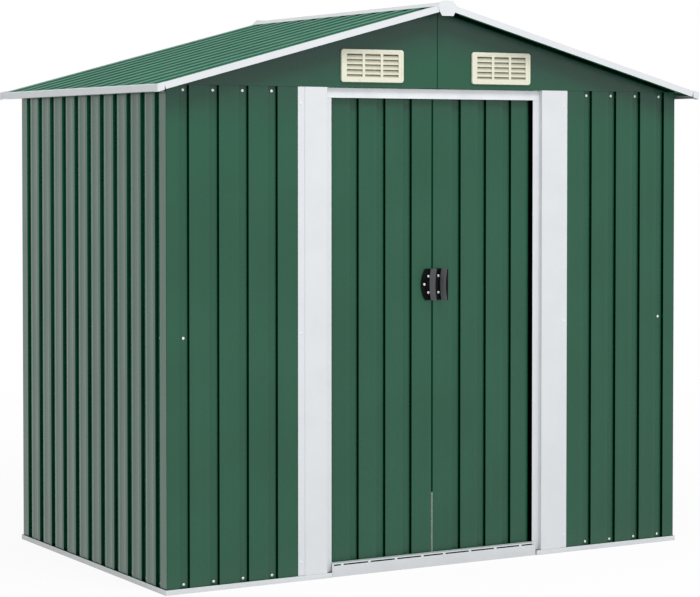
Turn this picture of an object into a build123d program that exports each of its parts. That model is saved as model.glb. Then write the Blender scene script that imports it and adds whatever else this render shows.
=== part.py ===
"""Small metal storage shed: ribbed steel walls, a low ridged roof and two sliding doors.

Millimetres, +Z up, front towards -Y. The origin is on the ground under the middle of the roof's plan.
"""
import math
import os

from build123d import *

# Overall walls
wall_width = 1940.0
wall_depth = 1152.0
wall_top = 1552.0

# Sheet metal
sheet = 0.8
frame_sheet = 1.2
seat = 0.3

# Ribbed wall sheet
valley_depth = 10.0
valley_mouth = 33.0
valley_floor = 28.0
valley_pitch = 102.0
first_valley = 62.0
pan_swell = 1.0
swell_crest = 0.18
swell_foot = 0.38
least_land = 10.0
corner_return = 22.0

# Base rails, standing on the ground
base_rail_height = 16.0
base_rail_proud = 5.0
base_rail_inside = 8.0
rail_end_gap = 8.0

# Doorway
doorway_width = 772.0
jamb_outer_flange = 24.0
jamb_face = 80.0
jamb_proud = 3.0
jamb_setback = 13.0
jamb_inner_flange = 25.0
lintel_down = 2.0
lintel_height = 31.0
lintel_lip = 4.0
lintel_return = 9.0
sill_height = 43.5
sill_ear = 5.0
sill_slot_pitch = 100.0
sill_slot_bridge = 10.0
sill_slot_height = 4.5
sill_slot_down = 3.5
sill_slot_end = 6.0
sill_first_bridge = 42.0
sill_bridge_shift = -12.0

# Sliding doors
door_setback = 29.0
door_width = 422.0
door_split = 1.2
door_pitch = 99.4
door_first_valley = 93.0
door_bottom = 30.0
door_top_down = 16.0
door_rail_depth = 10.0
door_rail_height = 30.0
door_rail_inset = 2.0
runner_width = 30.0
runner_tongue = 3.0
runner_places = (0.12, 0.88)
running_gap = 5.0

# Door tracks
track_width = 34.0
track_height = 24.0
top_track_height = 30.0

# Door handles
handle_height = 102.0
handle_middle = 917.0
handle_plate = 3.0
handle_reach = 39.0
handle_grip = 3.0
handle_bow = 5.0
handle_bulge = 36.0
handle_shoulder = 20.0
left_grip_from_split = 7.5
right_grip_from_split = 33.0
handle_split_gap = 3.0

# Wall rails inside
rail_depth = 14.0
rail_height = 32.0
mid_rail_z = 764.0

# Roof
roof_slope = 15.0
side_overhang = 55.0
end_overhang = 62.0
roof_rise_at_wall = 3.0
roof_rib_height = 7.5
roof_rib_top = 44.0
roof_rib_base = 56.0
roof_pitch = 102.5
ridge_gap = 8.0

# Roof trims
trim_face = 20.5
trim_lip = 10.0
trim_under = 30.0
trim_end_lap = 6.0
ridge_cap_top = 36.0
ridge_cap_width = 64.0
ridge_cap_lip = 7.0
ridge_cap_rise = 11.6
end_cap_margin = 5.0
end_cap_head = 5.0
end_cap_neck = 8.0
end_cap_tab = 43.0
end_cap_drop = 31.0
end_cap_shoulder = 17.0
end_cap_sheet = 2.0
corner_cap_lap = 1.5
corner_cap_side = 24.0

# Roof frame
ridge_beam_width = 40.0
ridge_beam_height = 34.0
purlin_width = 30.0
purlin_height = 26.0

# Gables
gable_proud = 1.6
gable_tip = 2.0
gable_down = 1.0
gable_foot_end = 40.0

# Gable vents
vent_width = 230.0
vent_height = 104.5
vent_centre = 246.0
vent_bottom = 16.5
vent_corner = 9.0
vent_edge_round = 2.0
vent_rim = 8.5
vent_rim_step = 1.0
vent_side_border = 19.5
vent_top_border = 14.0
vent_bottom_border = 16.5
vent_proud = 7.0
vent_spigot = 8.0
vent_wall = 2.0
vent_columns = 3
vent_rows = 5
vent_slot = 4.5
louvre_bar = 9.5
louvre_pitch = 16.0
louvre_lap = 2.0
louvre_drop = 1.5
louvre_lean = 0.26
louvre_sheet = 1.2
louvre_inset = 0.8

# Derived places
half_width = wall_width / 2
front = -wall_depth / 2
back = wall_depth / 2
slope = math.tan(math.radians(roof_slope))
roof_half = half_width + side_overhang
roof_end = back + end_overhang
underside_at_ridge = wall_top + roof_rise_at_wall + half_width * slope
top_at_ridge = underside_at_ridge + (roof_rib_height + sheet) / math.cos(math.radians(roof_slope))
door_face = front + door_setback
door_top = wall_top - door_top_down
doorway_half = doorway_width / 2
jamb_outer = doorway_half + jamb_inner_flange + jamb_face + jamb_outer_flange
track_front = door_face - (track_width - valley_depth - sheet - door_rail_depth) / 2
track_back = track_front + track_width
wall_inside = valley_depth + sheet
rise = math.radians(roof_slope)
trim_high = roof_rib_height + sheet + seat + frame_sheet
gable_face = front - gable_proud


def turn_left(a, b):
    """Unit normal to the left of the way from a to b."""
    dx = b[0] - a[0]
    dy = b[1] - a[1]
    size = math.hypot(dx, dy)
    return (-dy / size, dx / size)


def shifted(line, distance):
    """The same bent line, moved to its left by a distance, with its corners mitred."""
    normals = [turn_left(a, b) for a, b in zip(line, line[1:])]
    moved = []
    for index, point in enumerate(line):
        before = normals[max(index - 1, 0)]
        after = normals[min(index, len(normals) - 1)]
        scale = distance / (1 + before[0] * after[0] + before[1] * after[1])
        moved.append((point[0] + scale * (before[0] + after[0]), point[1] + scale * (before[1] + after[1])))
    return moved


def bent(line, thickness, plane, length):
    """Folded sheet metal: a bent line in a plane, thickened to its left and drawn out along the normal."""
    outline = line + shifted(line, thickness)[::-1]
    with BuildPart() as part:
        with BuildSketch(plane):
            with BuildLine():
                Polyline(*outline, close=True)
            make_face()
        extrude(amount=length)
    return part.part


def box(x0, x1, y0, y1, z0, z1):
    """A plain block between two corners."""
    return Pos((x0 + x1) / 2, (y0 + y1) / 2, (z0 + z1) / 2) * Box(x1 - x0, y1 - y0, z1 - z0)


def upright(angle, x, y, z):
    """A level drawing plane at a place, turned about Z, for profiles drawn out upwards."""
    turn = math.radians(angle)
    return Plane(origin=(x, y, z), x_dir=(math.cos(turn), math.sin(turn), 0), z_dir=(0, 0, 1))


def valleys(width, first, pitch):
    """Centres of the valleys on a wall sheet whose ends are alike."""
    count = max(round((width - 2 * first) / pitch), 1)
    fitted = (width - 2 * first) / count
    return [first + fitted * index for index in range(count + 1)]


def valleys_from(edge, far_edge, first, pitch):
    """Centres of the valleys on a sheet that starts with a full edge and is cut off at its other one."""
    room = far_edge - edge - first - valley_mouth / 2 - least_land
    count = max(int(room // pitch) + 1, 1)
    return [edge + first + pitch * index for index in range(count)]


def ribbed_line(start, end, centres):
    """Section of the ribbed sheet: valleys let into wider pans that swell a little near each edge."""
    line = [(start, 0.0)]
    previous = start
    for centre in centres:
        mouth = valley_mouth / 2
        floor = valley_floor / 2
        line += swell(previous, centre - mouth)
        line += [(centre - mouth, 0.0), (centre - floor, valley_depth)]
        line += [(centre + floor, valley_depth), (centre + mouth, 0.0)]
        previous = centre + mouth
    line += swell(previous, end)
    line.append((end, 0.0))
    return line


def swell(a, b):
    """The two low crests beside the flat middle of a pan, which stiffen it."""
    span = b - a
    if span < valley_pitch / 2:
        return []
    crest = swell_crest * span
    foot = swell_foot * span
    return [(a + crest, -pan_swell), (a + foot, 0.0), (b - foot, 0.0), (b - crest, -pan_swell)]


def wall_sheet(line, angle, x, y, bottom, top):
    """A ribbed sheet standing on end, with its inside to the left of the section line."""
    return bent(line, sheet, upright(angle, x, y, bottom), top - bottom)


def front_wall(side):
    """Front sheet beside the doorway, with a return at the corner that laps inside the side wall."""
    start = sheet + seat
    width = half_width - jamb_outer + jamb_outer_flange - seat
    centres = valleys_from(0.0, width, first_valley, valley_pitch)
    line = [(start, corner_return)] + ribbed_line(start, width, centres)
    part = wall_sheet(line, 0, -half_width, front, frame_sheet + seat, wall_top)
    return part if side < 0 else mirror(part, about=Plane.YZ)


def side_wall(side):
    """Side sheet over the whole depth of the shed."""
    centres = valleys(wall_depth, first_valley, valley_pitch)
    line = ribbed_line(0.0, wall_depth, centres)
    part = wall_sheet(line, -90, -half_width, back, frame_sheet + seat, wall_top)
    return part if side < 0 else mirror(part, about=Plane.YZ)


def back_wall():
    """Back sheet with a return at each end that laps inside the side walls."""
    inner = sheet + seat
    centres = valleys(wall_width, first_valley, valley_pitch)
    line = [(inner, corner_return)] + ribbed_line(inner, wall_width - inner, centres)
    line.append((wall_width - inner, corner_return))
    return wall_sheet(line, 180, half_width, back, frame_sheet + seat, wall_top)


rail_width = base_rail_proud + wall_inside + base_rail_inside
rail_section = [(0.0, base_rail_height), (0.0, 0.0), (rail_width, 0.0), (rail_width, base_rail_height)]


def bent_along_y(line, thickness, y0, y1):
    """Folded sheet metal whose section, in X and Z, runs from front to back."""
    plane = Plane(origin=(0, y1, 0), x_dir=(1, 0, 0), z_dir=(0, -1, 0))
    return bent(line, thickness, plane, y1 - y0)


def bent_along_x(line, thickness, x0, x1):
    """Folded sheet metal whose section, in Y and Z, runs from left to right."""
    plane = Plane(origin=(x0, 0, 0), x_dir=(0, 1, 0), z_dir=(1, 0, 0))
    return bent(line, thickness, plane, x1 - x0)


def side_base_rail(side):
    """Upturned channel that a side wall stands in, between the front and back rails."""
    end = back + base_rail_proud - rail_width - seat
    line = [(x - half_width - base_rail_proud, z) for x, z in rail_section]
    part = bent_along_y(line, frame_sheet, -end, end)
    return part if side < 0 else mirror(part, about=Plane.YZ)


def end_base_rail(end):
    """Upturned channel under the front or back wall, with folded ends and its inner leg notched."""
    outer = half_width + base_rail_proud
    line = [(y + front - base_rail_proud, z) for y, z in rail_section]
    part = bent_along_x(line, frame_sheet, -outer, outer)
    y0 = front - base_rail_proud
    y1 = y0 + rail_width
    notch = rail_width + seat
    for x0 in (-outer, outer - notch):
        part -= box(x0, x0 + notch, y1 - frame_sheet, y1 + 1, frame_sheet, base_rail_height)
    for x0 in (-outer, outer - frame_sheet):
        part += box(x0, x0 + frame_sheet, y0, y1, 0, base_rail_height)
    if end < 0:
        clear = doorway_half + rail_end_gap
        part -= box(-clear, clear, y0 - 1, y1 + 1, -1, wall_top)
        return part
    return mirror(part, about=Plane.XZ)


def wall_rails(low):
    """Channels that run round the inside of the side and back walls at one height."""
    high = low + rail_height
    x1 = half_width - wall_inside - seat
    y1 = back - wall_inside - seat
    side_line = [(-x1 + rail_depth, low), (-x1, low), (-x1, high), (-x1 + rail_depth, high)]
    left = bent_along_y(side_line, -frame_sheet, track_back + running_gap, y1 - rail_depth - seat)
    rear_line = [(y1 - rail_depth, low), (y1, low), (y1, high), (y1 - rail_depth, high)]
    rear = bent_along_x(rear_line, frame_sheet, -x1, x1)
    return Compound([left, mirror(left, about=Plane.YZ), rear])


def gable(side, end):
    """Flat half gable, just proud of the wall: its foot is turned in and its top runs under the roof."""
    low = wall_top + seat
    top_at_middle = underside_at_ridge - gable_down
    outer = half_width - (low + gable_tip - (top_at_middle - half_width * slope)) / slope
    foot = outer - seat / 2 - gable_foot_end
    vent_middle = wall_top + vent_bottom + vent_height / 2
    hole_middle = vent_middle + (vent_bottom_border - vent_top_border) / 2
    hole_height = vent_height - vent_top_border - vent_bottom_border
    outline = [(-seat / 2, low), (-seat / 2, top_at_middle), (-outer, low + gable_tip), (-outer, low)]
    with BuildPart() as part:
        with BuildSketch(Plane(origin=(0, gable_face, 0), x_dir=(1, 0, 0), z_dir=(0, -1, 0))):
            with BuildLine():
                Polyline(*outline, close=True)
            make_face()
            with Locations((-vent_centre, hole_middle)):
                Rectangle(vent_width - 2 * vent_side_border, hole_height, mode=Mode.SUBTRACT)
        extrude(amount=-sheet)
        with Locations((-(outer + seat / 2) / 2, gable_face + corner_return / 2, low + sheet / 2)):
            Box(foot, corner_return, sheet)
    half = part.part
    half = half if side < 0 else mirror(half, about=Plane.YZ)
    return half if end < 0 else mirror(half, about=Plane.XZ)


def vent(side, end):
    """Moulded louvre grille: a rounded rim, bars between the columns, leaning blades and a spigot."""
    inner_top = wall_top + vent_bottom + vent_height - vent_top_border
    inner_width = vent_width - 2 * vent_side_border
    inner_height = vent_height - vent_top_border - vent_bottom_border
    column = (inner_width - (vent_columns - 1) * louvre_bar) / vent_columns
    middle = wall_top + vent_bottom + vent_height / 2
    off = inner_top - inner_height / 2 - middle
    back_of_frame = gable_face - seat
    face = Plane(origin=(-vent_centre, back_of_frame, middle), x_dir=(1, 0, 0), z_dir=(0, -1, 0))
    with BuildPart() as part:
        with BuildSketch(face):
            RectangleRounded(vent_width, vent_height, vent_corner)
        extrude(amount=vent_proud)
        fillet(part.faces().sort_by(Axis.Y)[0].edges(), radius=vent_edge_round)
        with BuildSketch(face.offset(vent_proud)):
            RectangleRounded(vent_width - 2 * vent_rim, vent_height - 2 * vent_rim, vent_corner / 2)
        extrude(amount=-vent_rim_step, mode=Mode.SUBTRACT)
        with BuildSketch(face):
            with Locations((0, off)):
                with GridLocations(column + louvre_bar, 0, vent_columns, 1):
                    Rectangle(column, inner_height)
        extrude(amount=vent_proud, mode=Mode.SUBTRACT)
        with BuildSketch(face):
            with Locations((0, off)):
                Rectangle(inner_width - 2 * seat, inner_height - 2 * seat)
                wall = 2 * (seat + vent_wall)
                Rectangle(inner_width - wall, inner_height - wall, mode=Mode.SUBTRACT)
        extrude(amount=-vent_spigot)
    solid = part.part
    blade_end = (-vent_centre - inner_width / 2 - vent_wall, back_of_frame, 0)
    blade_plane = Plane(origin=blade_end, x_dir=(0, 1, 0), z_dir=(1, 0, 0))
    out = vent_proud - vent_rim_step - louvre_inset
    for index in range(vent_rows):
        foot = inner_top - louvre_pitch * (index + 1) - louvre_drop
        head = foot + louvre_pitch + louvre_lap if index else inner_top - vent_slot
        blade = [(louvre_lean * (head - foot) - out, head), (-out, foot)]
        solid += bent(blade, louvre_sheet, blade_plane, inner_width + 2 * vent_wall)
    solid = solid if side < 0 else mirror(solid, about=Plane.YZ)
    return solid if end < 0 else mirror(solid, about=Plane.XZ)


def roof_sheet(side):
    """Ribbed roof slope: broad ribs that run from the ridge down to the eave."""
    count = round((2 * roof_end - roof_rib_top) / roof_pitch)
    pitch = (2 * roof_end - roof_rib_top - 2 * seat - 2 * frame_sheet) / count
    start = -(roof_end - frame_sheet - seat)
    line = [(start, roof_rib_height)]
    for index in range(count):
        middle = start + roof_rib_top / 2 + pitch * (index + 0.5)
        trough_top = (pitch - roof_rib_top) / 2
        trough_floor = (pitch - roof_rib_base) / 2
        line += [(middle - trough_top, roof_rib_height), (middle - trough_floor, 0.0)]
        line += [(middle + trough_floor, 0.0), (middle + trough_top, roof_rib_height)]
    line.append((-start, roof_rib_height))
    length = (roof_half - frame_sheet - seat - ridge_gap) / math.cos(rise)
    length -= (roof_rib_height + sheet) * slope
    down = Vector(-math.cos(rise), 0, -math.sin(rise))
    start_point = (-ridge_gap, 0, underside_at_ridge - ridge_gap * slope)
    plane = Plane(origin=start_point, x_dir=(0, -1, 0), z_dir=down)
    part = bent(line, sheet, plane, length)
    return part if side < 0 else mirror(part, about=Plane.YZ)


def ridge_beam():
    """Upturned channel under the ridge, from gable to gable."""
    half = ridge_beam_width / 2
    top = underside_at_ridge - half * slope - seat
    low = top - ridge_beam_height
    end = back - sheet - seat
    return bent_along_y([(-half, top), (-half, low), (half, low), (half, top)], frame_sheet, -end, end)


def purlins():
    """Upturned channels under the middle of each slope, from gable to gable."""
    x0 = roof_half / 2
    x1 = x0 + purlin_width
    top = underside_at_ridge - x1 * slope - seat
    low = top - purlin_height
    end = back - sheet - seat
    right = bent_along_y([(x0, top), (x0, low), (x1, low), (x1, top)], frame_sheet, -end, end)
    return [right, mirror(right, about=Plane.YZ)]


def roof_top(x):
    """Height of the rib tops at a distance from the ridge."""
    return top_at_ridge - abs(x) * slope


def eave_trim(side):
    """Eave trim: a lip over the ribs, an upright face and a leg turned back under the overhang."""
    high = roof_top(roof_half) + frame_sheet + seat
    low = high - trim_face
    line = [(trim_lip, high + trim_lip * slope), (0.0, high), (0.0, low), (trim_under, low)]
    end = roof_end - corner_cap_side + trim_end_lap
    part = bent_along_y([(x - roof_half, z) for x, z in line], frame_sheet, -end, end)
    return part if side < 0 else mirror(part, about=Plane.YZ)


def rake_trim(side, end):
    """Rake trim: an upright face that climbs with the slope, with a lip over the end rib."""
    line = [(trim_lip, -trim_high), (0.0, -trim_high), (0.0, trim_face - trim_high)]
    down = Vector(-math.cos(rise), 0, -math.sin(rise))
    past = trim_face
    start = Plane(origin=(past, -roof_end, underside_at_ridge + past * slope), x_dir=(0, 1, 0), z_dir=down)
    part = bent(line, -frame_sheet, start, (roof_half - corner_cap_side + past) / math.cos(rise))
    lip_stop = ridge_cap_width / 2 + ridge_cap_lip + seat
    tall = top_at_ridge + 2 * trim_face
    part -= box(-seat / 2, 2 * past, -roof_end - 1, 0, 0, tall)
    part -= box(-lip_stop, 0, -roof_end + frame_sheet, 0, 0, tall)
    part = part if side < 0 else mirror(part, about=Plane.YZ)
    return part if end < 0 else mirror(part, about=Plane.XZ)


def ridge_cap():
    """Ridge cap: a flat top, two sloping sides and lips that lie on the rib tops."""
    half = ridge_cap_width / 2
    foot = roof_top(half) + seat + frame_sheet
    left = [(-half - ridge_cap_lip, foot - ridge_cap_lip * slope), (-half, foot)]
    left.append((-ridge_cap_top / 2, foot + ridge_cap_rise))
    right = [(-x, z) for x, z in left[::-1]]
    end = roof_end - frame_sheet - seat
    return bent_along_y(left + right, -frame_sheet, -end, end)


def ridge_end_caps():
    """Plates that close both ends of the ridge cap and hang a tab over the meeting of the rake trims."""
    half = ridge_cap_width / 2
    wide = half + end_cap_margin
    foot = roof_top(half)
    head = foot + ridge_cap_rise + seat + frame_sheet + end_cap_head
    tab = end_cap_tab / 2
    left = [(-ridge_cap_top / 2 - seat, head), (-wide, foot), (-tab - end_cap_neck, foot - end_cap_shoulder)]
    left.append((-tab, foot - end_cap_drop))
    right = [(-x, z) for x, z in left[::-1]]
    with BuildPart() as part:
        with BuildSketch(Plane(origin=(0, -roof_end - seat, 0), x_dir=(1, 0, 0), z_dir=(0, -1, 0))):
            with BuildLine():
                Polyline(*left, *right, close=True)
            make_face()
        extrude(amount=end_cap_sheet)
    return Compound([part.part, mirror(part.part, about=Plane.XZ)])


def rake_edges(x):
    """Heights of the top and the bottom edge of a rake trim at a distance from the ridge."""
    underside = underside_at_ridge - abs(x) * slope
    return underside + trim_high / math.cos(rise), underside + (trim_high - trim_face) / math.cos(rise)


def corner_caps():
    """Four folded caps round the corners of the roof: one wing is level, the other climbs with the rake."""
    outer_x = roof_half + frame_sheet + seat
    outer_y = roof_end + frame_sheet + seat
    inner_x = outer_x - corner_cap_side
    trim_top, trim_foot = rake_edges(roof_half)
    high = trim_top + corner_cap_lap
    low = trim_foot - corner_cap_lap
    climb = corner_cap_side * slope
    outline = [(-outer_x, low), (-inner_x, low + climb), (-inner_x, high + climb), (-outer_x, high)]
    with BuildPart() as part:
        with BuildSketch(Plane(origin=(0, -outer_y, 0), x_dir=(1, 0, 0), z_dir=(0, -1, 0))):
            with BuildLine():
                Polyline(*outline, close=True)
            make_face()
        extrude(amount=-frame_sheet)
    wing = box(-outer_x, -outer_x + frame_sheet, -outer_y, -outer_y + corner_cap_side, low, high)
    one = part.part + wing
    left = [one, mirror(one, about=Plane.XZ)]
    return left + [mirror(cap, about=Plane.YZ) for cap in left]


def jamb(side):
    """Door jamb: a flange on the wall sheet, a broad face, a step back and a flange at the opening."""
    x0 = -jamb_outer
    x1 = x0 + jamb_outer_flange
    x2 = x1 + jamb_face
    x3 = -doorway_half
    y0 = front - seat - frame_sheet - pan_swell
    y1 = front - jamb_proud - frame_sheet
    y2 = front + jamb_setback
    line = [(x0, y0), (x1, y0), (x1, y1), (x2, y1), (x2, y2), (x3, y2)]
    foot = base_rail_height + seat
    part = bent(line, frame_sheet, upright(0, 0, 0, foot), wall_top - foot - seat)
    return part if side < 0 else mirror(part, about=Plane.YZ)


def lintel():
    """Plate over the doorway between the jamb faces, its lips notched where they meet the jamb flanges."""
    x1 = doorway_half + jamb_inner_flange - seat - frame_sheet
    y1 = front + jamb_setback - seat
    y0 = y1 - frame_sheet
    high = wall_top - lintel_down
    low = high - lintel_height
    line = [(y0 + lintel_return, high), (y0, high), (y0, low), (y0 + lintel_lip, low)]
    part = bent_along_x(line, frame_sheet, -x1, x1)
    clear = doorway_half - seat
    for x in (-x1, clear):
        part -= box(x, x + x1 - clear, y1, y1 + lintel_return, low - 1, high + 1)
    return part


def sill_slots():
    """Left and right ends of the long slots that the bridges of the sill leave between them."""
    end = doorway_half + sill_ear - sill_slot_end
    count = int((end - sill_first_bridge) // sill_slot_pitch) + 1
    reach = [sill_first_bridge + sill_slot_pitch * index for index in range(count)]
    bridges = sorted([sill_bridge_shift - x for x in reach] + [sill_bridge_shift + x for x in reach])
    starts = [-end] + [x + sill_slot_bridge / 2 for x in bridges]
    ends = [x - sill_slot_bridge / 2 for x in bridges] + [end]
    return [(x0, x1) for x0, x1 in zip(starts, ends) if x1 > x0]


def sill():
    """Sill in front of the bottom track: an eared face with long slots under its bend, and a flat top."""
    x1 = doorway_half + sill_ear
    line = [(front, 0.0), (front, sill_height), (track_front - seat, sill_height)]
    part = bent_along_x(line, -frame_sheet, -x1, x1)
    clear = doorway_half - seat
    for x in (-x1, clear):
        part -= box(x, x + x1 - clear, front + frame_sheet, track_front, 0, sill_height)
    high = sill_height - sill_slot_down
    for x0, x1 in sill_slots():
        part -= box(x0, x1, front - 1, front + frame_sheet + seat, high - sill_slot_height, high)
    return part


def top_track():
    """Channel over the doors, open downwards, behind the front wall from side to side."""
    x1 = half_width - wall_inside - 2 * seat
    high = wall_top - seat
    low = high - top_track_height
    line = [(track_front, low), (track_front, high), (track_back, high), (track_back, low)]
    return bent_along_x(line, -frame_sheet, -x1, x1)


def bottom_track():
    """Channel on the ground under the doors, with an upturned leg at each side."""
    x1 = half_width + base_rail_proud - rail_width - 2 * seat
    line = [(track_front, track_height), (track_front, 0.0), (track_back, 0.0), (track_back, track_height)]
    return bent_along_x(line, frame_sheet, -x1, x1)


def door_panel(side):
    """Ribbed door leaf with a folded edge down each side."""
    centres = [door_width - x for x in valleys_from(0.0, door_width, door_first_valley, door_pitch)][::-1]
    line = [(0.0, valley_depth)] + ribbed_line(0.0, door_width, centres) + [(door_width, valley_depth)]
    part = wall_sheet(line, 0, -door_split - door_width, door_face, door_bottom, door_top)
    return part if side < 0 else mirror(part, about=Plane.YZ)


def door_rails(side):
    """Channels across the back of a door leaf, at its bottom, middle and top."""
    y0 = door_face + wall_inside + seat
    y1 = y0 + door_rail_depth
    parts = []
    x0 = -door_split - door_width + door_rail_inset
    x1 = -door_split - door_rail_inset
    for low in (door_bottom, (door_bottom + door_top - door_rail_height) / 2, door_top - door_rail_height):
        high = low + door_rail_height
        parts.append(bent_along_x([(y1, low), (y0, low), (y0, high), (y1, high)], -frame_sheet, x0, x1))
    whole = Compound(parts)
    return whole if side < 0 else mirror(whole, about=Plane.YZ)


def door_runners(side):
    """Plastic runners in a leaf's channels: two stand on the bottom track, two reach up into the top one."""
    y0 = door_face + wall_inside + 2 * seat + frame_sheet
    y1 = door_face + wall_inside + seat + door_rail_depth
    grip = door_rail_height - 2 * frame_sheet - 2 * seat
    y2 = y1 + runner_tongue
    foot = door_bottom + frame_sheet + seat
    head = door_top - frame_sheet - seat
    track_floor = frame_sheet + seat
    track_roof = wall_top - 2 * seat - frame_sheet
    parts = []
    for place in runner_places:
        x0 = -door_split - door_width * place - runner_width / 2
        x1 = x0 + runner_width
        parts.append(box(x0, x1, y0, y1, foot, foot + grip) + box(x0, x1, y1, y2, track_floor, foot + grip))
        parts.append(box(x0, x1, y0, y1, head - grip, head) + box(x0, x1, y1, y2, head - grip, track_roof))
    whole = Compound(parts)
    return whole if side < 0 else mirror(whole, about=Plane.YZ)


def handle(side):
    """Moulded pull: a plate with a bowed edge, screwed to the leaf, and a thin bowed fin that stands out."""
    root = -left_grip_from_split if side < 0 else right_grip_from_split
    bulge = handle_bulge if side < 0 else min(handle_bulge, root - door_split - handle_split_gap)
    shoulder = handle_shoulder * bulge / handle_bulge
    seated = (root, door_face - pan_swell - seat, handle_middle)
    face = Plane(origin=seated, x_dir=(1, 0, 0), z_dir=(0, -1, 0))
    half = handle_height / 2
    with BuildPart() as part:
        with BuildSketch(face):
            with BuildLine():
                Polyline((-shoulder, -half), (0, -half), (0, half), (-shoulder, half))
                ThreePointArc((-shoulder, half), (-bulge, 0), (-shoulder, -half))
            make_face()
        extrude(amount=handle_plate)
        with BuildSketch(face):
            with BuildLine():
                Polyline((0, half), (handle_grip, half), (handle_grip, -half), (0, -half))
                ThreePointArc((0, -half), (-handle_bow, 0), (0, half))
            make_face()
        extrude(amount=handle_reach)
    return part.part


def main():
    """Build every piece and write it to its own file."""
    nodes = {}
    for side, name in ((-1, "left"), (1, "right")):
        nodes[f"front_wall_{name}"] = front_wall(side)
        nodes[f"{name}_wall"] = side_wall(side)
        nodes[f"{name}_base_rail"] = side_base_rail(side)
        nodes[f"roof_sheet_{name}"] = roof_sheet(side)
        nodes[f"{name}_eave_trim"] = eave_trim(side)
        nodes[f"{name}_jamb"] = jamb(side)
        nodes[f"{name}_door_panel"] = door_panel(side)
        nodes[f"{name}_door_rails"] = door_rails(side)
        nodes[f"{name}_door_runners"] = door_runners(side)
        nodes[f"{name}_door_handle"] = handle(side)
        for end, end_name in ((-1, "front"), (1, "back")):
            nodes[f"{end_name}_gable_{name}"] = gable(side, end)
            nodes[f"{end_name}_vent_{name}"] = vent(side, end)
            nodes[f"{end_name}_rake_trim_{name}"] = rake_trim(side, end)
    nodes["back_wall"] = back_wall()
    for end, end_name in ((-1, "front"), (1, "back")):
        nodes[f"{end_name}_base_rail"] = end_base_rail(end)
    nodes["ridge_cap"] = ridge_cap()
    nodes["ridge_end_caps"] = ridge_end_caps()
    nodes["roof_beams"] = Compound([ridge_beam()] + purlins())
    nodes["roof_corner_caps"] = Compound(corner_caps())
    nodes["lintel"] = lintel()
    nodes["door_sill"] = sill()
    nodes["top_track"] = top_track()
    nodes["bottom_track"] = bottom_track()
    nodes["top_wall_rails"] = wall_rails(wall_top - rail_height - seat)
    nodes["mid_wall_rails"] = wall_rails(mid_rail_z)
    os.makedirs("parts", exist_ok=True)
    for name, shape in nodes.items():
        export_step(shape, f"parts/{name}.step")


main()
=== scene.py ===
import math

import bpy
from mathutils import Matrix, Vector


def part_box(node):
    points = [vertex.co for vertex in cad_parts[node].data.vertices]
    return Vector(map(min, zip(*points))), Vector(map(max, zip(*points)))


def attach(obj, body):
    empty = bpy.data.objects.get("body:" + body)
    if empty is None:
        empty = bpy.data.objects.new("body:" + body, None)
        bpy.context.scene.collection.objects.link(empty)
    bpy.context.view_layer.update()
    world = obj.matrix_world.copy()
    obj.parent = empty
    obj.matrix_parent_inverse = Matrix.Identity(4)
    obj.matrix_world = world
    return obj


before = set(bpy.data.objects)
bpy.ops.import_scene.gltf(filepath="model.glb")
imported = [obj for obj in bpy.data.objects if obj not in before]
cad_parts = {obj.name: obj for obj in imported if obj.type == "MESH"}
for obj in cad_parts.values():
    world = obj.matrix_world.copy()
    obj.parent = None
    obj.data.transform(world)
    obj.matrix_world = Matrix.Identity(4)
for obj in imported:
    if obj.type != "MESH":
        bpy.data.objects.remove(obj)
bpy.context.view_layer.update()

bpy.ops.object.select_all(action="DESELECT")

# Base rails: upturned channels of off-white coated steel that lie on the ground and carry the walls.
# Their outer leg shows as a pale line at the foot of each wall; splashed dirt greys its lower edge.
X, Y, Z = range(3)
COLOUR_RESULT = 2
TRIM = (0.660, 0.684, 0.705)
TRIM_DULL = (0.636, 0.660, 0.684)
TRIM_PAINTED_SHADE = (0.003, 0.010, 0.006)
DIRT = (0.30, 0.29, 0.26)
RAIL_SPLASHED = 0.022


class Wire:
    """A node socket that takes part in sums, so that shader maths reads as a formula."""

    def __init__(self, tree, socket):
        self.tree = tree
        self.socket = socket

    def maths(self, operation, other=None, turned=False):
        node = self.tree.nodes.new("ShaderNodeMath")
        node.operation = operation
        pair = [self] if other is None else [self, other]
        if turned:
            pair.reverse()
        for place, value in enumerate(pair):
            if isinstance(value, Wire):
                self.tree.links.new(value.socket, node.inputs[place])
            else:
                node.inputs[place].default_value = value
        return Wire(self.tree, node.outputs[0])

    def __abs__(self):
        return self.maths("ABSOLUTE")

    def __add__(self, other):
        return self.maths("ADD", other)

    def __radd__(self, other):
        return self.maths("ADD", other, True)

    def __sub__(self, other):
        return self.maths("SUBTRACT", other)

    def __rsub__(self, other):
        return self.maths("SUBTRACT", other, True)

    def __mul__(self, other):
        return self.maths("MULTIPLY", other)

    def __rmul__(self, other):
        return self.maths("MULTIPLY", other, True)


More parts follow.
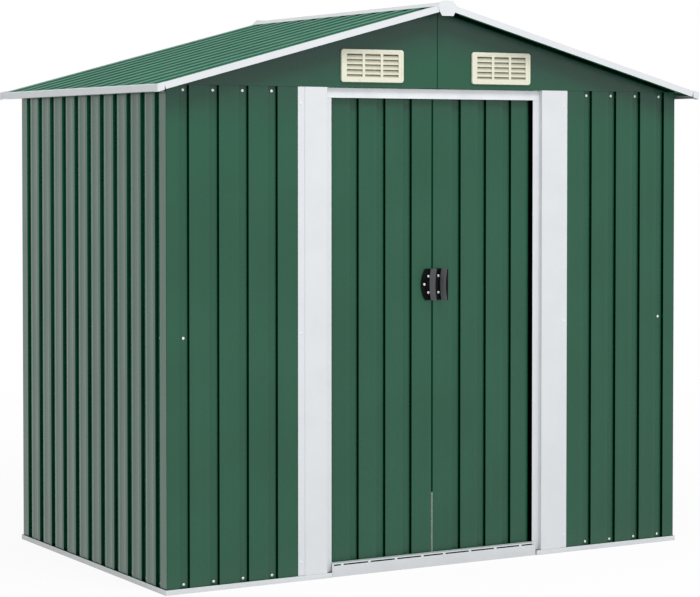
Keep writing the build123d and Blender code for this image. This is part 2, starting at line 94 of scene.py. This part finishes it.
class Nodes:
    """A node tree whose nodes are all added in one way."""

    def __init__(self, tree):
        self.tree = tree

    def node(self, kind, output=0, settings=None, **inputs):
        """Adds a node, sets it up first, then fills or links its inputs, and returns an output."""
        made = self.tree.nodes.new("ShaderNode" + kind)
        for key, value in (settings or {}).items():
            setattr(made, key, value)
        for label, value in inputs.items():
            slot = next(s for s in made.inputs if s.name == label.replace("_", " ") and s.enabled)
            self.fill(slot, value)
        return Wire(self.tree, made.outputs[output])

    def fill(self, slot, value):
        """Links a wire to a socket, or sets the socket to a number or a colour."""
        if isinstance(value, Wire):
            self.tree.links.new(value.socket, slot)
        elif isinstance(value, tuple) and slot.type == "RGBA":
            slot.default_value = (*value, 1)
        else:
            slot.default_value = value

    def spread(self, value, low, high, to_low=0.0, to_high=1.0):
        """Runs evenly from one number to another while a value goes from low to high."""
        return self.node("MapRange", Value=value, From_Min=low, From_Max=high, To_Min=to_low, To_Max=to_high)

    def mix(self, factor, first, second):
        return self.node("Mix", COLOUR_RESULT, {"data_type": "RGBA"}, Factor=factor, A=first, B=second)


class Finish(Nodes):
    """One material: constants sit on the surface's own sockets, and wires feed only what varies."""

    def __init__(self, name, **constants):
        self.material = bpy.data.materials.new(name)
        self.material.use_nodes = True
        super().__init__(self.material.node_tree)
        self.surface = next(n for n in self.tree.nodes if n.type == "BSDF_PRINCIPLED")
        self.set(**constants)

    def set(self, **inputs):
        for label, value in inputs.items():
            self.fill(self.surface.inputs[label.replace("_", " ")], value)

    def place(self, scale=(1, 1, 1)):
        """Object coordinates in metres, stretched by a scale."""
        return self.node("Mapping", Vector=self.node("TexCoord", "Object"), Scale=scale)

    def along(self, axis):
        """How far along an axis a point lies, in metres."""
        return self.node("SeparateXYZ", axis, Vector=self.place())

    def facing(self, axis):
        """How far the surface faces along an axis, from -1 to 1."""
        return self.node("SeparateXYZ", axis, Vector=self.node("NewGeometry", "Normal"))

    def noise(self, size, scale=(1, 1, 1), detail=2.0):
        """Cloudy noise whose patches are about one size, in metres."""
        return self.node("TexNoise", Vector=self.place(scale), Scale=1 / size, Detail=detail)

    def bump(self, height, depth):
        """Bends the surface normal by a height that runs from 0 to 1, and is that deep in metres."""
        self.set(Normal=self.node("Bump", Height=height, Distance=depth))


def dress(finish, *names):
    """Gives CAD nodes a finish."""
    for name in names:
        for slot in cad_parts[name].material_slots:
            slot.material = finish.material


def coated_pale(name, splashed=0.0, fresh=TRIM, shade_painted_below=False):
    """Off-white coated strip: worn duller in patches, and greyed by splashes up to a height.

    When the last flag is set, the faces that look down carry painted shade: near black, and metallic so that
    the room's light doesn't lift them.
    """
    strip = Finish(name, IOR=1.45)
    worn = strip.spread(strip.noise(0.11, detail=4.0), 0.42, 0.72)
    tone = strip.mix(worn, fresh, TRIM_DULL)
    if splashed:
        ragged_height = strip.along(Z) + strip.noise(0.025) * 0.012
        tone = strip.mix(strip.spread(ragged_height, 0.0, splashed, 0.2, 0.0), tone, DIRT)
    # Painted shade on the faces that look down, darker and metallic.
    if shade_painted_below:
        below = strip.spread(strip.facing(Z), -0.6, -0.2, 1.0, 0.0)
        tone = strip.mix(below, tone, TRIM_PAINTED_SHADE)
        strip.set(Metallic=below)
    strip.set(Base_Color=tone, Roughness=strip.spread(strip.noise(0.05), 0.3, 0.7, 0.30, 0.42))
    grain = strip.noise(0.0016) * 0.06
    strip.bump(grain + strip.noise(0.09), 0.0007)
    return strip


rail_paint = coated_pale("rail_paint", RAIL_SPLASHED)
dress(rail_paint, *[f"{place}_base_rail" for place in ("front", "back", "left", "right")])

# Walls: thin steel sheet, roll-formed into pans and valleys and coated dark green on its outside.
# The sheets stand in the base rails and lap at the corners; thin sheet never lies quite flat.
GREEN = (0.0090, 0.0820, 0.0425)
GREEN_DEEP = (0.0075, 0.0735, 0.0370)
SHADE_AND_JOINT_DARK = (0.0040, 0.0480, 0.0250)
DUST = (0.070, 0.120, 0.090)
SHADE_GREY = (0.0170, 0.0500, 0.0380)
PALE_EDGE_TONE = (0.640, 0.690, 0.650)
RAIN_STREAK = (1, 1, 0.06)
ROLLED_WAVE = (1, 1, 0.25)
DUSTY_FOOT = (0.03, 0.13)
PALE_EDGE_WIDTH = 0.0020
WALL_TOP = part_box("back_wall")[1][2]
EAVE_SHADE_DEPTH = 0.13


def coated_green(
    name,
    across=None,
    tone=GREEN,
    deep=GREEN_DEEP,
    gloss=0.24,
    index=1.45,
    flank_shade_strength=1.0,
    edges=None,
    pale_foot=0.0,
    painted_grey_shade=None,
):
    """Green coated sheet, with dust in rain streaks and at its foot.

    Its flanks face the axis `across` and carry painted shade: darker, and metallic so that the room's light
    doesn't lift them.
    What `edges` picks is painted dark the same way, apart from the middle up to the given foot height, which
    is paler.
    The last argument gives the share of a grey painted shade.
    """
    steel = Finish(name, IOR=index)
    height = steel.along(Z)
    off_middle = abs(steel.along(X))
    paint = steel.mix(steel.spread(steel.noise(0.30), 0.35, 0.65), tone, deep)
    streaks = steel.spread(steel.noise(0.05, RAIN_STREAK, detail=3.0), 0.56, 0.80, 0.0, 0.05)
    paint = steel.mix(streaks, paint, DUST)
    dusty = steel.spread(height + steel.noise(0.06) * 0.05, *DUSTY_FOOT, 0.12, 0.0)
    paint = steel.mix(dusty, paint, DUST)
    # Painted shade: a greyer, darker band where the roof's overhang shades the sheet.
    if painted_grey_shade:
        paint = steel.mix(painted_grey_shade(steel, off_middle, height), paint, SHADE_GREY)
    shade_and_joint_metallic = 0.0
    if across is not None:
        # Painted shade on the flanks, darker and metallic so that they stay dark.
        flank_shade = steel.spread(abs(steel.facing(across)), 0.5, 0.9, 0.0, flank_shade_strength)
        paint = steel.mix(flank_shade, paint, SHADE_AND_JOINT_DARK)
        shade_and_joint_metallic = shade_and_joint_metallic + flank_shade
    # The picked edges are dark joints and painted shade, darker and metallic; low in the middle they are
    # paler.
    if edges:
        dark_edges = edges(steel, off_middle, height)
        at_foot = steel.spread(height, pale_foot - 0.005, pale_foot, 1.0, 0.0)
        pale_edge = at_foot * steel.spread(off_middle, PALE_EDGE_WIDTH, PALE_EDGE_WIDTH + 0.0004, 1.0, 0.0)
        paint = steel.mix(dark_edges, paint, steel.mix(pale_edge, SHADE_AND_JOINT_DARK, PALE_EDGE_TONE))
        shade_and_joint_metallic = shade_and_joint_metallic + dark_edges * (1 - pale_edge)
    cloud = steel.noise(0.07, (1, 1, 0.3))
    steel.set(Base_Color=paint, Metallic=shade_and_joint_metallic)
    steel.set(Roughness=steel.spread(cloud, 0.3, 0.7, gloss, gloss + 0.09))
    grain = steel.noise(0.0014) * 0.008
    steel.bump(grain + steel.noise(0.13, ROLLED_WAVE), 0.0006)
    return steel


def under_eave(steel, off_middle, height):
    """Painted shade under the eave: the top of a wall turns greyer and darker."""
    return steel.spread(height, WALL_TOP - EAVE_SHADE_DEPTH, WALL_TOP, 0.0, 0.5)


# The valley flanks of all walls carry painted shade, and the end walls a grey painted shade at their tops.
end_green = coated_green("end_wall_green", across=X, painted_grey_shade=under_eave)
side_green = coated_green("side_wall_green", across=Y, index=1.70)
dress(end_green, "front_wall_left", "front_wall_right", "back_wall")
dress(side_green, "left_wall", "right_wall")

# Screws: pan heads of pale zinc with a cross recess, driven through the valley floors of the walls
# into the rails behind, in a row at the top and another at the foot, and here and there half way up.
HEAD = 0.0045
RIM = 0.0012
DOME = (0.0007, 0.0003)
RECESS_DEPTH = 0.0020
SPIN = 0.7
ROWS = (1.537, 0.026)
HALF_WAY = 0.780
END_FACE = 0.566
END_OUTER = 0.908
FRONT_PITCH = 0.102
FRONT_VALLEYS = 4
BACK_VALLEYS = 19
SIDE_FACE = 0.960
SIDE_OUTER = 0.514
SIDE_VALLEYS = 11


def edit(piece, chosen):
    """Opens a piece in edit mode with only those faces selected that a test picks."""
    bpy.ops.object.select_all(action="DESELECT")
    bpy.context.view_layer.objects.active = piece
    piece.select_set(True)
    bpy.ops.object.mode_set(mode="EDIT")
    bpy.ops.mesh.select_mode(type="FACE")
    bpy.ops.mesh.select_all(action="DESELECT")
    bpy.ops.object.mode_set(mode="OBJECT")
    for face in piece.data.polygons:
        face.select = chosen(face)
    bpy.ops.object.mode_set(mode="EDIT")


bpy.ops.mesh.primitive_cylinder_add(vertices=14, radius=HEAD, depth=RIM, location=(0, 0, RIM / 2))
screw = bpy.context.object
bpy.ops.object.transform_apply(location=True, rotation=True, scale=True)
edit(screw, lambda face: face.normal.z > 0.9)
for step_in, step_up in zip((HEAD * 0.22, HEAD * 0.34), DOME):
    bpy.ops.mesh.inset(thickness=step_in, depth=0)
    bpy.ops.transform.translate(value=(0, 0, step_up))
bpy.ops.object.mode_set(mode="OBJECT")
for turn in (0, 90):
    top = (0, 0, RIM + sum(DOME))
    bpy.ops.mesh.primitive_cube_add(size=1, location=top, rotation=(0, 0, math.radians(turn)))
    slot_cutter = bpy.context.object
    slot_cutter.scale = (HEAD * 1.1, HEAD * 0.24, RECESS_DEPTH)
    bpy.context.view_layer.objects.active = screw
    recess = screw.modifiers.new("recess", "BOOLEAN")
    recess.object = slot_cutter
    bpy.ops.object.select_all(action="DESELECT")
    screw.select_set(True)
    bpy.ops.object.modifier_apply(modifier=recess.name)
    bpy.data.objects.remove(slot_cutter)
bpy.ops.object.shade_smooth_by_angle(angle=math.radians(35))
pale_zinc = Finish("pale_zinc", Metallic=0.25)
tint = pale_zinc.spread(pale_zinc.noise(0.003), 0.35, 0.7)
pale_zinc.set(Base_Color=pale_zinc.mix(tint, (0.88, 0.92, 0.90), (0.74, 0.78, 0.76)))
pale_zinc.set(Roughness=pale_zinc.spread(tint, 0.0, 1.0, 0.30, 0.45))
screw.data.materials.append(pale_zinc.material)


def drive(name, spots, facing, size=1.0, body="shed"):
    """Copies the screw to spots, with its head facing one way, and joins the copies as one piece."""
    heads = []
    for count, spot in enumerate(spots):
        head = screw.copy()
        head.data = screw.data.copy()
        bpy.context.collection.objects.link(head)
        turn = Vector(facing).to_track_quat("Z", "Y").to_matrix().to_4x4()
        spin = Matrix.Rotation(SPIN * count, 4, "Z")
        scale = Matrix.Diagonal((size, size, size, 1))
        head.data.transform(Matrix.Translation(spot) @ turn @ spin @ scale)
        heads.append(head)
    bpy.ops.object.select_all(action="DESELECT")
    for head in heads:
        head.select_set(True)
    bpy.context.view_layer.objects.active = heads[0]
    bpy.ops.object.join()
    heads[0].name = name
    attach(heads[0], body)


front_x = [side * (END_OUTER - FRONT_PITCH * valley) for side in (-1, 1) for valley in range(FRONT_VALLEYS)]
front_spots = [(x, -END_FACE, z) for x in front_x for z in ROWS]
front_spots += [(x, -END_FACE, HALF_WAY) for x in (-END_OUTER, END_OUTER)]
drive("front_wall_screws", front_spots, (0, -1, 0))
back_pitch = 2 * END_OUTER / (BACK_VALLEYS - 1)
back_x = [-END_OUTER + back_pitch * valley for valley in range(BACK_VALLEYS)]
back_spots = [(x, END_FACE, z) for x in back_x for z in ROWS]
back_spots += [(x, END_FACE, HALF_WAY) for x in back_x[::3]]
drive("back_wall_screws", back_spots, (0, 1, 0))
side_pitch = 2 * SIDE_OUTER / (SIDE_VALLEYS - 1)
side_y = [-SIDE_OUTER + side_pitch * valley for valley in range(SIDE_VALLEYS)]
for side, way in (("left", -1), ("right", 1)):
    side_spots = [(way * SIDE_FACE, y, z) for y in side_y for z in ROWS]
    side_spots += [(way * SIDE_FACE, y, HALF_WAY) for y in side_y[::5]]
    drive(f"{side}_wall_screws", side_spots, (way, 0, 0))

# Frame: zinc coated channels behind the sheets, round the walls and under the roof, bright and bare.
# They show only through the open doorway; their coating has the faint cloudy flower of hot-dipped zinc.
# The track in the sill is worn dull and gathers dirt.
FLOWER_SIZE = 1 / 70
ZINC = (0.50, 0.52, 0.53)
ZINC_DEEP = (0.40, 0.42, 0.43)
ZINC_WORN = (0.13, 0.13, 0.13)
zinc = Finish("zinc_channel", Metallic=0.85)
flower = zinc.node("TexVoronoi", Vector=zinc.place(), Scale=1 / FLOWER_SIZE)
zinc.set(Base_Color=zinc.mix(zinc.spread(flower, 0.1, 0.8), ZINC, ZINC_DEEP))
zinc.set(Roughness=zinc.spread(zinc.noise(0.015), 0.3, 0.7, 0.32, 0.5))
dress(zinc, "top_wall_rails", "mid_wall_rails", "roof_beams", "top_track")
worn_zinc = Finish("track_zinc", Metallic=0.5)
dirty = worn_zinc.spread(worn_zinc.noise(0.01), 0.4, 0.7)
worn_zinc.set(Base_Color=worn_zinc.mix(dirty, ZINC_WORN, DIRT))
worn_zinc.set(Roughness=worn_zinc.spread(worn_zinc.noise(0.004), 0.3, 0.7, 0.5, 0.7))
dress(worn_zinc, "bottom_track")

# Gables: a flat green sheet in two halves at each end, standing just proud of the wall below it.
# The halves meet in a seam at the middle; along the roof they carry a dark strip of painted shadow under the
# trim, above a wider band of grey painted shade.
ROOF_SLOPE = math.tan(math.radians(15))
GABLE_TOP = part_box("front_gable_left")[1][2]
SEAM = (0.0013, 0.0022)
RAKE_SHADOW_BAND = (0.017, 0.010)
RAKE_SHADE_STRIP = (0.17, 0.03)


def seam_and_rake_shadow(steel, off_middle, height):
    """The cut edges at the middle seam, and a strip of painted shadow right under the roof trim."""
    seam = steel.spread(off_middle, *SEAM, 1.0, 0.0)
    up_to_roof = height + off_middle * ROOF_SLOPE
    return seam + steel.spread(up_to_roof, GABLE_TOP - RAKE_SHADOW_BAND[0], GABLE_TOP - RAKE_SHADOW_BAND[1])


def under_rake(steel, off_middle, height):
    """Painted shade under the rake: the strip along the roof turns greyer and darker."""
    up_to_roof = height + off_middle * ROOF_SLOPE
    return steel.spread(up_to_roof, GABLE_TOP - RAKE_SHADE_STRIP[0], GABLE_TOP - RAKE_SHADE_STRIP[1], 0.0, 0.9)


gable_green = coated_green("gable_green", edges=seam_and_rake_shadow, painted_grey_shade=under_rake)
dress(gable_green, *[f"{end}_gable_{side}" for end in ("front", "back") for side in ("left", "right")])

# Vents: louvre grilles moulded in cream plastic, pushed through the gables and screwed at the corners.
# The mould left them with a fine grain and smudges of dirt, and each blade carries painted shade where it
# runs up under the lip of the blade above.
CREAM = (0.705, 0.705, 0.575)
CREAM_SHADE_AND_DIRT = (0.150, 0.132, 0.070)
BLADE_FOOT = 1.5935
BLADE_PITCH = 0.016
RIM_FACE = 0.5833
VENT_CENTRE = 0.246
FIELD_MIDDLE = 1.622
HALF_FIELD_WIDTH = 0.096
HALF_FIELD_HEIGHT = 0.03725
cream = Finish("cream_plastic", IOR=1.46)
smudged = cream.spread(cream.noise(0.012, (1, 1, 2.0), detail=4.0), 0.5, 0.8)
up_blade = ((cream.along(Z) - BLADE_FOOT) * (1 / BLADE_PITCH)).maths("FRACT")
behind_rim = cream.spread(abs(cream.along(Y)), RIM_FACE - 0.0005, RIM_FACE + 0.0005, 1.0, 0.0)
off_centre = abs(abs(cream.along(X)) - VENT_CENTRE)
in_width = cream.spread(off_centre, HALF_FIELD_WIDTH - 0.0005, HALF_FIELD_WIDTH + 0.0005, 1.0, 0.0)
off_centre = abs(cream.along(Z) - FIELD_MIDDLE)
in_height = cream.spread(off_centre, HALF_FIELD_HEIGHT - 0.00025, HALF_FIELD_HEIGHT + 0.00025, 1.0, 0.0)
# Painted shade under each blade's lip, plus a little dirt in smudges.
shade_under_lip = cream.spread(up_blade, 0.20, 0.85, 0.08, 1.0) * behind_rim * in_width * in_height
cream.set(Base_Color=cream.mix(shade_under_lip * 0.85 + smudged * 0.12, CREAM, CREAM_SHADE_AND_DIRT))
cream.set(Roughness=cream.spread(cream.noise(0.02), 0.3, 0.7, 0.42, 0.55))
cream.bump(cream.noise(0.0012), 0.00012)
dress(cream, *[f"{end}_vent_{side}" for end in ("front", "back") for side in ("left", "right")])

# Roof: two ribbed sheets that run from the ridge down to the eaves, screwed to the beams under them.
# Their coat is a livelier green and duller than the walls', and their troughs end under the ridge cap.
ROOF_GREEN = (0.020, 0.160, 0.096)
ROOF_GREEN_DEEP = (0.018, 0.141, 0.083)
RIB_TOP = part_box("roof_sheet_left")[1][2]
CAP_SHADE = (0.080, 0.086)


def under_ridge_cap(steel, off_middle, height):
    """The troughs between the ribs where they run in under the ridge cap, out of the light."""
    in_trough = steel.spread(RIB_TOP - height - off_middle * ROOF_SLOPE, 0.001, 0.003)
    return steel.spread(off_middle, *CAP_SHADE, 1.0, 0.0) * in_trough


# Painted shade: the rib flanks, which face the front and the back, are darker, and so are the troughs under
# the ridge cap.
roof_green = coated_green(
    "roof_green",
    across=Y,
    tone=ROOF_GREEN,
    deep=ROOF_GREEN_DEEP,
    gloss=0.56,
    flank_shade_strength=0.95,
    edges=under_ridge_cap,
)
dress(roof_green, "roof_sheet_left", "roof_sheet_right")

# Roof trims: off-white strips folded over the edges of the roof sheets, with plates at the ends
# of the ridge and folded caps round the corners. All are pushed on and screwed from below.
trim_paint = coated_pale("trim_paint")
dress(trim_paint, "left_eave_trim", "right_eave_trim", "ridge_end_caps", "roof_corner_caps")
dress(trim_paint, *[f"{end}_rake_trim_{side}" for end in ("front", "back") for side in ("left", "right")])
# The ridge cap carries painted shade on its faces that look down.
ridge_paint = coated_pale("ridge_paint", shade_painted_below=True)
dress(ridge_paint, "ridge_cap")

# Door frame: two off-white jambs, a lintel between them and a slotted sill in front of the track.
# Each is one folded strip; the sill takes the boots, so it is duller towards the ground.
LINTEL_PAINTED_LIGHT = (0.735, 0.755, 0.775)
SILL = (0.610, 0.632, 0.654)
SILL_SPLASHED = 0.042
JAMB_FACE = -0.5785
JAMB_SCREW_X = 0.504
JAMB_ROWS = (0.060, HALF_WAY, 1.500)
jamb_paint = coated_pale("jamb_paint")
dress(jamb_paint, "left_jamb", "right_jamb")
# The lintel is painted lighter than the jambs, as painted light against the shade it stands in under the
# gable.
lintel_paint = coated_pale("lintel_paint", fresh=LINTEL_PAINTED_LIGHT)
dress(lintel_paint, "lintel")
jamb_spots = [(x, JAMB_FACE, z) for x in (-JAMB_SCREW_X, JAMB_SCREW_X) for z in JAMB_ROWS]
drive("jamb_screws", jamb_spots, (0, -1, 0), 0.75)
sill_paint = coated_pale("sill_paint", SILL_SPLASHED, fresh=SILL)
dress(sill_paint, "door_sill")

# Doors: two leaves of the wall's ribbed sheet, with a channel across the back at three heights.
# Pale nylon runners in the channels slide in the tracks, and low down the meeting edges are paler.
DOORWAY_HALF = -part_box("left_jamb")[1][0]
MEETING_EDGE = (0.0030, 0.0042)
PALE_EDGE_HEIGHT = 0.240
NYLON = (0.62, 0.62, 0.58)
NYLON_GREYED = (0.50, 0.49, 0.45)


def leaf_edges(steel, off_middle, height):
    """The meeting edges of the leaves, and painted shade on their outer edges where they run behind the
    jambs.
    """
    meeting = steel.spread(off_middle, *MEETING_EDGE, 1.0, 0.0)
    return meeting + steel.spread(off_middle, DOORWAY_HALF - 0.002, DOORWAY_HALF + 0.001)


# Painted shade on the doors: their valley flanks, their outer edges behind the jambs and a grey band at
# their tops.
door_green = coated_green(
    "door_green",
    across=X,
    edges=leaf_edges,
    pale_foot=PALE_EDGE_HEIGHT,
    painted_grey_shade=under_eave,
)
dress(door_green, "left_door_panel", "right_door_panel")
dress(zinc, "left_door_rails", "right_door_rails")
nylon = Finish("nylon", Subsurface_Weight=0.05)
nylon.set(Base_Color=nylon.mix(nylon.spread(nylon.noise(0.01), 0.4, 0.7), NYLON, NYLON_GREYED))
nylon.set(Roughness=nylon.spread(nylon.noise(0.004), 0.3, 0.7, 0.4, 0.55))
dress(nylon, "left_door_runners", "right_door_runners")

# Door pulls: one black plastic moulding on each leaf, a curved plate with a thin fin to grip,
# held by three screws from the front. Hands have rubbed the black lighter in patches, and the
# flat sides of the fins carry a grey painted sheen.
BLACK = (0.0035, 0.0035, 0.0040)
BLACK_RUBBED = (0.009, 0.009, 0.010)
FIN_PAINTED_SHEEN = (0.185, 0.186, 0.200)
FIN_FOOT = (-0.5520, -0.5516)
PLATE_FACE = -0.5513
black = Finish("black_plastic", IOR=1.48, Specular_IOR_Level=0.06)
plate = black.mix(black.spread(black.noise(0.02), 0.45, 0.75), BLACK, BLACK_RUBBED)
# Painted sheen: the flat sides of the fins are grey.
fin = black.spread(black.along(Y), *FIN_FOOT, 1.0, 0.0)
fin = fin * black.spread(abs(black.facing(Y)), 0.4, 0.8, 1.0, 0.0)
black.set(Base_Color=black.mix(fin, plate, FIN_PAINTED_SHEEN))
black.set(Roughness=black.spread(fin, 0.0, 1.0, 0.34, 0.62))
black.bump(black.noise(0.0009), 0.00010)
dress(black, "left_door_handle", "right_door_handle")
for side, plate_spots in {
    "left": [(-0.0169, 0.9438), (-0.0323, 0.9176), (-0.0169, 0.8908)],
    "right": [(0.0212, 0.9445), (0.0125, 0.9175), (0.0212, 0.8905)],
}.items():
    pull_spots = [(x, PLATE_FACE, z) for x, z in plate_spots]
    drive(f"{side}_handle_screws", pull_spots, (0, -1, 0), 0.9, f"{side}_door")
bpy.data.objects.remove(screw)

# Floor: a pale sheet of paper under the shed that runs out of sight and turns to plain white there.
# It keeps the shed's soft shadow, and is dark only where the shed itself stands on it.
PAPER = (0.90, 0.90, 0.90)
SHED_EDGE_X = (0.93, 0.95)
SHED_EDGE_Y = (0.52, 0.54)
FADE = (1.5, 6.0)
bpy.ops.mesh.primitive_plane_add(size=60, location=(0, 0, -0.0005))
floor = bpy.context.object
floor.name = "studio_floor"
ground = Finish("studio_white", Base_Color=PAPER, Roughness=0.9, Specular_IOR_Level=0.0)
floor.data.materials.append(ground.material)
outside = ground.spread(abs(ground.along(X)), *SHED_EDGE_X)
outside = outside.maths("MAXIMUM", ground.spread(abs(ground.along(Y)), *SHED_EDGE_Y))
distance = ground.node("VectorMath", "Value", {"operation": "LENGTH"}, Vector=ground.place())
seen = ground.node("LightPath", "Is Camera Ray") * ground.spread(distance, *FADE, 0.92, 1.0)
mirrored = ground.node("LightPath", "Is Glossy Ray") + ground.node("LightPath", "Is Transmission Ray")
lit_paper = ground.node("Emission", Color=(1, 1, 1), Strength=1.0)
sheet = ground.node("MixShader", Fac=(seen + mirrored) * outside)
ground.fill(sheet.socket.node.inputs[1], Wire(ground.tree, ground.surface.outputs[0]))
ground.fill(sheet.socket.node.inputs[2], lit_paper)
ground.fill(next(n for n in ground.tree.nodes if n.type == "OUTPUT_MATERIAL").inputs["Surface"], sheet)

# Surround: an even white room that lights the shed from all sides.
# Seen directly, in a gloss or through a pane it is plain white, and its light on the shed is softer.
ROOM_LIGHT = 0.66
ROOM_SEEN = 1.0
world = bpy.data.worlds.new("studio")
bpy.context.scene.world = world
world.use_nodes = True
room = Nodes(world.node_tree)
shown = room.node("LightPath", "Is Camera Ray") + room.node("LightPath", "Is Glossy Ray")
shown = shown + room.node("LightPath", "Is Transmission Ray")
backdrop = world.node_tree.nodes["Background"]
room.fill(backdrop.inputs["Color"], (1, 1, 1))
room.fill(backdrop.inputs["Strength"], room.spread(shown, 0.0, 1.0, ROOM_LIGHT, ROOM_SEEN))


# Lamps: a large soft one high over the front of the shed, for the roof and the shade under the eaves,
# and a weaker one low at the front left, which lifts the doors without a glare on the walls.
def softbox(name, place, aim, width, height, power):
    """A large area lamp that faces a point."""
    lamp = bpy.data.lights.new(name, "AREA")
    lamp.shape = "RECTANGLE"
    lamp.size = width
    lamp.size_y = height
    lamp.energy = power
    box = bpy.data.objects.new(name, lamp)
    bpy.context.collection.objects.link(box)
    box.location = place
    box.rotation_euler = (Vector(aim) - Vector(place)).to_track_quat("-Z", "Y").to_euler()


softbox("key", (0.2, -4.4, 6.6), (0, -0.5, 0.8), 2.0, 2.0, 225)
softbox("fill", (-3.8, -7.2, 1.7), (0, 0, 0.9), 3.0, 2.0, 85)

# Camera: at chest height to the front left, tipped a little down towards the middle of the doors.
# Its place and lens were worked out from the corners of the shed in the photo.
SENSOR = 36
PHOTO_WIDTH = 700
FOCAL_PIXELS = 2252.4
TIPPED_DOWN = 1.654
TURNED_RIGHT = 30.172
camera = bpy.data.cameras.new("camera")
camera.sensor_width = SENSOR
camera.lens = FOCAL_PIXELS / PHOTO_WIDTH * SENSOR
camera.shift_y = -0.12
eye = bpy.data.objects.new("camera", camera)
bpy.context.collection.objects.link(eye)
eye.location = (-3.911, -6.743, 1.3555)
eye.rotation_euler = (math.radians(90 - TIPPED_DOWN), 0, math.radians(-TURNED_RIGHT))
bpy.context.scene.camera = eye
bpy.context.scene.view_settings.view_transform = "Standard"
